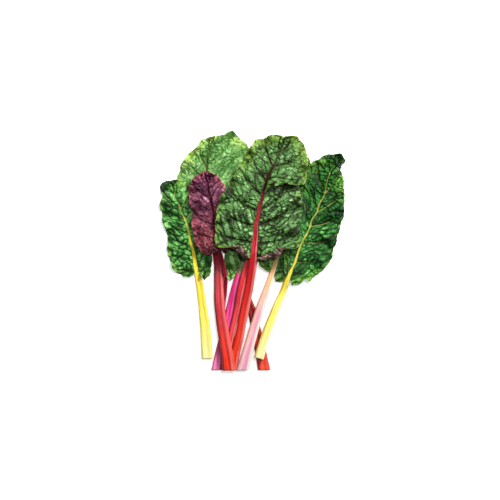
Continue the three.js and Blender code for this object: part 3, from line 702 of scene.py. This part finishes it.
def make_stalk(leaf, material):
    ring = section_ring()
    across, sides = ring[:, 0], len(ring)
    at = np.linspace(0, rib_end(leaf), int(rib_end(leaf) / STALK_STEP))
    rows = len(at)
    points, ahead, half = stalk_rings(leaf, at, ring)
    seed = leaf["phase"] * 10
    base_at, total = leaf["base_at"], leaf["spine"]["run"][-1]
    stretch = np.where(at < base_at, at / base_at, 1 + (at - base_at) / (total - base_at)) / 2
    girth = np.concatenate([[0], np.cumsum(np.linalg.norm(np.diff(ring, axis=0), axis=1))])
    number = np.arange(rows * sides).reshape(rows, sides)
    turned = np.roll(number, -1, axis=1)
    quads = [np.stack([number[:-1], number[1:], turned[1:], turned[:-1]], axis=-1).reshape(-1, 4)]
    layers = [points.reshape(-1, 3)]
    along = [np.repeat(stretch, sides)]
    side = [np.tile(across, rows)]
    cut = [np.zeros(rows * sides)]
    place = [np.stack([np.repeat(at, sides), (half[:, None] * girth).ravel(), cut[0] + seed * 30], axis=-1)]
    turn = np.arctan2(ring[:, 1] - 0.5, across) * 3
    for row, facing in ((0, -1), (rows - 1, 1)):
        count = sum(len(layer) for layer in layers)
        rings, faces = close_end(points[row], number[row], count, ahead[row], facing)
        quads += faces
        for share, layer in rings:
            size = len(layer)
            layers.append(layer)
            along.append(np.full(size, stretch[row]))
            side.append((across * share)[:size])
            cut.append(np.full(size, 1.0 if row == 0 else 0.0))
            place.append(np.stack([np.full(size, share * 4), turn[:size], np.full(size, seed)], axis=-1))
    faces = [list(dict.fromkeys(quad)) for quad in np.vstack(quads).tolist()]
    masks = dict(along=np.concatenate(along), side=np.concatenate(side), cut=np.concatenate(cut))
    return make_object(f"{leaf['name']}_stem", np.vstack(layers), faces, masks, np.vstack(place), material)


# Materials

LIGHT_GAIN = 1.35  # how much brighter than its surface colour a level surface looks

# Scales of the leaf's textures, for each metre
PATCHES = 38.0
MOTTLE = 330.0
GRAIN = 900.0
PORES = 480.0
ROLL_STREAKS = 300.0
# and of the stalk's
STALK_PATCHES = 30.0
FIBRES = 1100.0
BANDS = 320.0
FLESH = 700.0

TONE_STOPS = (0.14, 0.56, 0.88)  # of the painted shade between the blisters, the colour on them and the painted highlight on their tops
VALLEY_TONE = 0.3  # painted shade: how much darker a blade is painted along a side vein
SHADE_TONE = 0.5  # and under the folded lobe
GLOSS = 0.7  # specular level that the top of a blister adds
DULL = 0.25  # to the level in the valleys
LEAF_BUMP = 0.0009  # metres
STALK_BUMP = 0.0012
PURPLE_NET = 0.6  # how strongly the lower half's net of veins shows


class Nodes:
    """Short calls that add nodes to a material and wire them."""

    def __init__(self, name):
        self.material = bpy.data.materials.new(name)
        self.material.use_nodes = True
        self.tree = self.material.node_tree
        self.shader = self.tree.nodes["Principled BSDF"]

    def put(self, value, socket):
        if isinstance(value, bpy.types.NodeSocket):
            self.tree.links.new(value, socket)
        elif isinstance(value, (tuple, list)) and len(value) == 3 and len(socket.default_value) == 4:
            socket.default_value = (*value, 1.0)
        else:
            socket.default_value = value

    def read(self, name, output="Fac"):
        node = self.tree.nodes.new("ShaderNodeAttribute")
        node.attribute_name = name
        return node.outputs[output]

    def math(self, operation, a, b=0.0, clamp=False):
        node = self.tree.nodes.new("ShaderNodeMath")
        node.operation = operation
        node.use_clamp = clamp
        self.put(a, node.inputs[0])
        self.put(b, node.inputs[1])
        return node.outputs[0]

    def plus(self, a, b):
        return self.math("ADD", a, b)

    def minus(self, a, b):
        return self.math("SUBTRACT", a, b)

    def times(self, a, b, clamp=False):
        return self.math("MULTIPLY", a, b, clamp)

    def swing(self, noise, size):
        """A noise as a swing of this size round nought."""
        return self.times(self.minus(noise, 0.5), size)

    def blend(self, share, a, b, how="MIX"):
        node = self.tree.nodes.new("ShaderNodeMix")
        node.data_type = "RGBA"
        node.blend_type = how
        self.put(share, node.inputs[0])
        self.put(a, node.inputs[6])
        self.put(b, node.inputs[7])
        return node.outputs[2]

    def add(self, kind, **inputs):
        """A node with values or wires on its named inputs."""
        node = self.tree.nodes.new(f"ShaderNode{kind}")
        for name, value in inputs.items():
            self.put(value, node.inputs[name.replace("_", " ")])
        return node

    def stretch(self, place, sizes):
        return self.add("Mapping", Vector=place, Scale=sizes).outputs[0]

    def noise(self, place, scale, detail=3.0, rough=0.55):
        return self.add("TexNoise", Vector=place, Scale=scale, Detail=detail, Roughness=rough).outputs["Fac"]

    def pebble(self, place, scale):
        return self.add("TexVoronoi", Vector=place, Scale=scale).outputs["Distance"]

    def bump(self, height, distance):
        return self.add("Bump", Height=height, Distance=distance).outputs[0]

    def levels(self, value, low, high):
        """0 at the first bound and 1 at the second, with a soft passage between them."""
        node = self.add("MapRange", Value=value, From_Min=low, From_Max=high)
        node.interpolation_type = "SMOOTHSTEP"
        return node.outputs[0]

    def ramp(self, value, *stops):
        node = self.tree.nodes.new("ShaderNodeValToRGB")
        ends = node.color_ramp.elements
        while len(ends) < len(stops):
            ends.new(0.5)
        for end, (at, colour) in zip(ends, stops):
            end.position = at
            end.color = (*colour, 1.0)
        self.put(value, node.inputs[0])
        return node.outputs[0]

    def finish(self, **sockets):
        for name, value in sockets.items():
            self.put(value, self.shader.inputs[name.replace("_", " ")])
        return self.material


def tint(code):
    """The surface colour that looks like six hexadecimal digits under this light."""
    levels = [int(code[k:k + 2], 16) / 255 for k in (0, 2, 4)]
    linear = [v / 12.92 if v <= 0.04045 else ((v + 0.055) / 1.055) ** 2.4 for v in levels]
    return tuple(v / LIGHT_GAIN for v in linear)


def tints(codes):
    return [tint(code) for code in codes.split()]


def grey(level):
    return (level, level, level)


def leaf_tone(n, patches, mottle):
    """How bright the leaf is painted, from 0 in the painted shade between the blisters and under the fold to
    1 in the painted highlight on their tops.
    """
    dome = n.times(n.read("dome"), n.plus(n.times(n.read("small"), 0.35), 0.6))
    tone = n.plus(n.plus(dome, n.swing(patches, 1.1)), n.swing(mottle, 1.1))
    tone = n.minus(tone, n.times(n.read("valley"), VALLEY_TONE))
    tone = n.minus(tone, n.times(n.read("shade"), SHADE_TONE))
    return n.times(tone, 0.8, clamp=True)


def vein_lines(n, rib_reach, vein_share):
    """Side veins that fade away from the midrib, and the stripe beside the midrib."""
    near_rib = n.levels(n.read("off"), rib_reach, 0.04)
    upper = n.plus(n.times(n.levels(n.read("along"), 0.25, 0.6), 0.5), 0.5)
    line = n.times(n.levels(n.read("vein"), 0.25, 0.9), n.times(near_rib, n.times(upper, vein_share)))
    return n.math("MAXIMUM", line, n.times(n.read("rib"), 0.8))


def leaf_skin(name, codes, vein_share, edge_share, rim_share, sun=0.0, rib_reach=0.45, rolled=None, low=None):
    """Crinkled leaf: painted shade between the blisters and painted highlights on them, a pale margin, veins
    and a dull underside.
    """
    deep, body, bright, edge, back, vein = tints(codes)
    n = Nodes(name)
    place = n.read("place", "Vector")
    patches = n.noise(place, PATCHES)
    mottle = n.noise(n.stretch(place, (1.0, 0.6, 1.0)), MOTTLE, 4.0, 0.65)
    tone = leaf_tone(n, patches, mottle)
    colour = n.ramp(tone, *zip(TONE_STOPS, (deep, body, bright)))
    if low:
        *lower, net_colour = tints(low)
        net = n.times(n.levels(n.read("small"), 0.5, 0.1), PURPLE_NET)
        reddish = n.blend(net, n.ramp(tone, *zip(TONE_STOPS, lower)), net_colour)
        colour = n.blend(n.levels(n.read("along"), 0.58, 0.15), colour, reddish)
    tinted = n.times(n.times(n.read("margin"), n.levels(patches, 0.36, 0.6)), n.levels(tone, 0.1, 0.6))
    colour = n.blend(n.times(tinted, edge_share, clamp=True), colour, edge)
    # painted sunlight: a band at the margin, painted in the pale edge colour
    sunlit = n.times(n.times(n.read("sun"), n.levels(patches, 0.3, 0.55)), sun)
    colour = n.blend(n.times(sunlit, n.levels(tone, -0.1, 0.5)), colour, edge)
    colour = n.blend(n.times(n.read("rim"), rim_share), colour, edge)
    colour = n.blend(vein_lines(n, rib_reach, vein_share), colour, vein)
    colour = n.blend(n.times(n.read("back"), 0.75), colour, back)
    if rolled:
        streaks = n.levels(n.noise(n.stretch(place, (1.0, 0.4, 1.0)), ROLL_STREAKS, 3.0, 0.6), 0.46, 0.62)
        colour = n.blend(n.times(n.read("under"), 0.9), colour, n.blend(streaks, *tints(rolled)))
    grain = n.plus(n.noise(place, GRAIN, 3.0, 0.6), n.times(n.pebble(place, PORES), 1.2))
    return n.finish(Base_Color=colour, Normal=n.bump(grain, LEAF_BUMP),
                    Roughness=n.ramp(mottle, (0.3, grey(0.28)), (0.7, grey(0.42))),
                    Specular_IOR_Level=n.plus(n.times(n.levels(tone, 0.3, 0.9), GLOSS), DULL),
                    Subsurface_Weight=0.05, Subsurface_Radius=(0.002, 0.003, 0.001))


def stalk_skin(name, codes, flanks, streak_share=0.45, shade_share=0.7, light_share=0.5,
               turns=(0.0, 0.22, 0.46, 0.66, 0.78), core_share=0.0):
    """Juicy stalk: colours that change along it, lengthwise streaks, painted shade and painted light on its
    flanks, a wet cut end.
    """
    stops = tints(codes)
    streak, shade, light = tints(flanks)
    n = Nodes(name)
    place = n.read("place", "Vector")
    fibres = n.noise(n.stretch(place, (0.04, 1.0, 1.0)), FIBRES, 3.0, 0.6)
    bands = n.noise(n.stretch(place, (0.05, 1.0, 1.0)), BANDS, 2.0, 0.5)
    patches = n.noise(place, STALK_PATCHES)
    along = n.plus(n.read("along"), n.swing(patches, 0.12))
    side = n.plus(n.read("side"), n.swing(bands, 0.9))
    petiole = n.levels(n.read("along"), 0.75, 0.45)
    colour = n.ramp(along, *zip(turns, stops))
    # painted light on the right flank and painted shade on the left flank
    colour = n.blend(n.times(n.levels(side, 0.15, 0.8), n.times(petiole, light_share)), colour, light)
    colour = n.blend(n.times(n.levels(side, -0.25, -0.85), n.times(petiole, shade_share)), colour, shade)
    lines = n.times(n.levels(bands, 0.52, 0.64), n.times(petiole, streak_share))
    foot = n.times(n.levels(along, 0.46, 0.22), core_share)
    core = n.times(n.levels(n.math("ABSOLUTE", side), 0.5, 0.1), foot)
    colour = n.blend(n.math("MAXIMUM", lines, core), colour, streak)
    colour = n.blend(0.5, colour, n.ramp(fibres, (0.3, grey(0.3)), (0.7, grey(0.75))), "SOFT_LIGHT")
    pale = n.blend(0.55, stops[0], tint("F6E9C8"))
    flesh = n.blend(n.levels(n.pebble(place, FLESH), 0.1, 0.5), pale, stops[0])
    colour = n.blend(n.times(n.read("cut"), 0.85), colour, flesh)
    wet = n.levels(n.read("along"), 0.76, 0.6)
    return n.finish(Base_Color=colour, Normal=n.bump(n.plus(bands, n.times(fibres, 0.6)), STALK_BUMP),
                    Roughness=n.ramp(patches, (0.3, grey(0.26)), (0.7, grey(0.4))),
                    Specular_IOR_Level=n.plus(n.times(wet, 0.2), 0.02),
                    Coat_Weight=n.times(wet, 0.05), Coat_Roughness=0.2,
                    Subsurface_Weight=0.12, Subsurface_Radius=(0.003, 0.0015, 0.001))


def blade_materials():
    """Each blade's colours: painted shade between blisters, on them, painted highlight on their tops, at the
    margin, below, on the veins.
    """
    green = dict(vein_share=0.7, edge_share=0.8, rim_share=0.12, sun=0.4)
    hidden = leaf_skin("blade_hidden", "12300A 44822C 9CD06C 84BE3C 86A070 8CA83C", **green)
    return dict(
        dark_red=hidden, crimson=hidden, pink=hidden,
        # the magenta blade is painted paler than the other hidden blades: partly its own pale green, partly
        # painted light against the shade of the leaves over it
        magenta=leaf_skin("blade_lower", "2E5A18 9CD070 E8FCCC 84BE3C 86A070 B4CC5C", **green),
        yellow_left=leaf_skin("blade_left", "123F0E 56AA46 B0EC98 9CCC58 6A9458 C6D468", **green),
        yellow_right=leaf_skin("blade_right", "062E04 257C1A 7AD05C 84BE3C 6A9458 C6D468", **green),
        red=leaf_skin("blade_light", "42762E 8EC46C D6F0C0 BEDE62 86A866 4C5024",
                      vein_share=0.7, edge_share=0.85, rim_share=0.12, sun=0.7, rib_reach=0.3),
        purple=leaf_skin("blade_purple", "44102A 8E4662 E2B0C6 BC5060 7E5058 4A0C20",
                         vein_share=0.6, edge_share=0.6, rim_share=0.5, low="4C0A18 A03440 D87C86 E89EA4"),
        centre=leaf_skin("blade_dark", "1C2C0A 62984A CCECBC 94B83A 845650 3C1A14", vein_share=0.95,
                         edge_share=0.5, rim_share=0.55, sun=0.6, rib_reach=0.5, rolled="4E2A2C B09080"),
    )


def stalk_materials():
    """Each stalk's colours from its cut end up: foot, middle, neck, lower midrib and upper midrib. Then its
    streaks, the painted shade on its left flank and the painted light on its right flank."""
    return dict(
        # the dark red stalk turns dark maroon soon after its foot: painted shade where it runs under the
        # other stalks
        dark_red=stalk_skin("stalk_dark_red", "F4543A E0442C 8A180E 6A0C08 6A0C08", "80140A 5A0A06 B83424",
                            turns=(0.0, 0.06, 0.16, 0.46, 0.66)),
        magenta=stalk_skin("stalk_magenta", "F07CA8 EA3488 DC2070 4A8030 4A8030", "F890C4 A80C50 F46CA8",
                           turns=(0.0, 0.22, 0.45, 0.5, 0.78)),
        crimson=stalk_skin("stalk_crimson", "F05850 EC5258 D42430 8A1026 7A1022", "AA0A14 9A0A16 FA8A84",
                           0.5, 0.7, 0.6),
        pink=stalk_skin("stalk_pink", "F2D0D4 F4C4B8 EEB880 C4A050 90904C", "EC80B4 E4967C FBEEDC",
                        0.5, 0.6, 0.8, core_share=0.75),
        red=stalk_skin("stalk_red", "EE3612 CE343A 9C162A 7A1024 4E5626", "A00C1C 740614 F08078",
                       0.55, 0.85, 0.55),
        yellow_left=stalk_skin("stalk_gold", "FAF0A8 F8E254 FBD428 EECC2C C8C84C", "FDF39A F2D850 F0D850",
                               0.4, 0.4, 0.4),
        yellow_right=stalk_skin("stalk_lemon", "F4E8B0 F2E260 EED840 D4C648 BEBE68", "FAF2A4 C49410 F6EC9C",
                                0.4, 0.85),
        purple=stalk_skin("stalk_purple", "9A1A34 90142C 7A0E2A 5E0C24 440A1C", "C24A60 4A0612 C84860"),
        centre=stalk_skin("stalk_ruby", "F0421C E23828 BC1828 98142A 30140E", "B4120C AC0A04 F48C84",
                          0.6, 0.7, 0.7),
    )


# Slot of the record listed for each piece; the pieces below are not given them

BLADE_SLOTS = dict(red="light_green_blade", purple="purple_blade")
STALK_SLOTS = dict(yellow_left="yellow_stalk", yellow_right="yellow_stalk", centre="ruby_stalk")


def dress(leaf, blades, stalks):
    """The fine pieces of one leaf, each in the place of its plain solid."""
    name = leaf["name"]
    stem = make_stalk(leaf, stalks[name])
    blade = make_blade(leaf, blades[name])
    for piece, part, slot in ((stem, "stalk", STALK_SLOTS.get(name, f"{name}_stalk")),
                              (blade, "blade", BLADE_SLOTS.get(name, "green_blade"))):
        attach(piece, "root")
        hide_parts(f"{name}_{part}")


# Light, floor and camera, in metres

CAMERA_HEIGHT = 2.0
VIEW_WIDTH = 0.75  # of the surface across the picture
VIEW_MIDDLE = (-0.0034, 0.0012)  # the place on the surface at the middle of the picture
SENSOR = 36.0  # millimetres
FLOOR_SIZE = 6.0
FLOOR_GREY = 0.93
FLOOR_GLOW = 0.5
SKY_LIGHT = 0.12
LAMPS = [  # name, place, size, watts and colour
    ("key", (0.8, 1.15, 1.25), 0.4, 62.0, (1.0, 0.99, 0.97)),
    ("gloss", (0.3, 0.42, 1.9), 0.35, 18.0, (0.92, 0.97, 1.0)),
    ("fill", (-1.0, 0.2, 1.5), 1.0, 6.0, (0.9, 0.95, 1.0)),
]


def add_lamp(name, place, size, watts, colour):
    """A soft square lamp that shines at the middle of the bunch."""
    lamp = bpy.data.lights.new(name, "AREA")
    lamp.size = size
    lamp.energy = watts
    lamp.color = colour
    thing = bpy.data.objects.new(name, lamp)
    thing.location = place
    thing.rotation_euler = (-Vector(place)).to_track_quat("-Z", "Y").to_euler()
    bpy.context.scene.collection.objects.link(thing)


def add_floor():
    bpy.ops.mesh.primitive_plane_add(size=FLOOR_SIZE, location=(0, 0, 0))
    floor = bpy.context.object
    floor.name = "floor"
    white = Nodes("floor_white").finish(Base_Color=grey(FLOOR_GREY), Roughness=0.9,
                                        Emission_Color=grey(1.0), Emission_Strength=FLOOR_GLOW)
    floor.data.materials.append(white)


def add_sky():
    world = bpy.data.worlds.new("soft_white")
    world.use_nodes = True
    background = world.node_tree.nodes["Background"]
    background.inputs["Color"].default_value = (1, 1, 1, 1)
    background.inputs["Strength"].default_value = SKY_LIGHT
    bpy.context.scene.world = world


def add_camera():
    lens = bpy.data.cameras.new("camera")
    lens.sensor_width = SENSOR
    lens.lens = SENSOR * CAMERA_HEIGHT / VIEW_WIDTH
    camera = bpy.data.objects.new("camera", lens)
    camera.location = (*VIEW_MIDDLE, CAMERA_HEIGHT)
    bpy.context.scene.collection.objects.link(camera)
    bpy.context.scene.camera = camera


def main():
    lay_out()
    blades, stalks = blade_materials(), stalk_materials()
    for leaf in LEAVES:
        dress(leaf, blades, stalks)
    add_floor()
    add_sky()
    for lamp in LAMPS:
        add_lamp(*lamp)
    add_camera()
    bpy.context.scene.view_settings.view_transform = "Standard"


main()
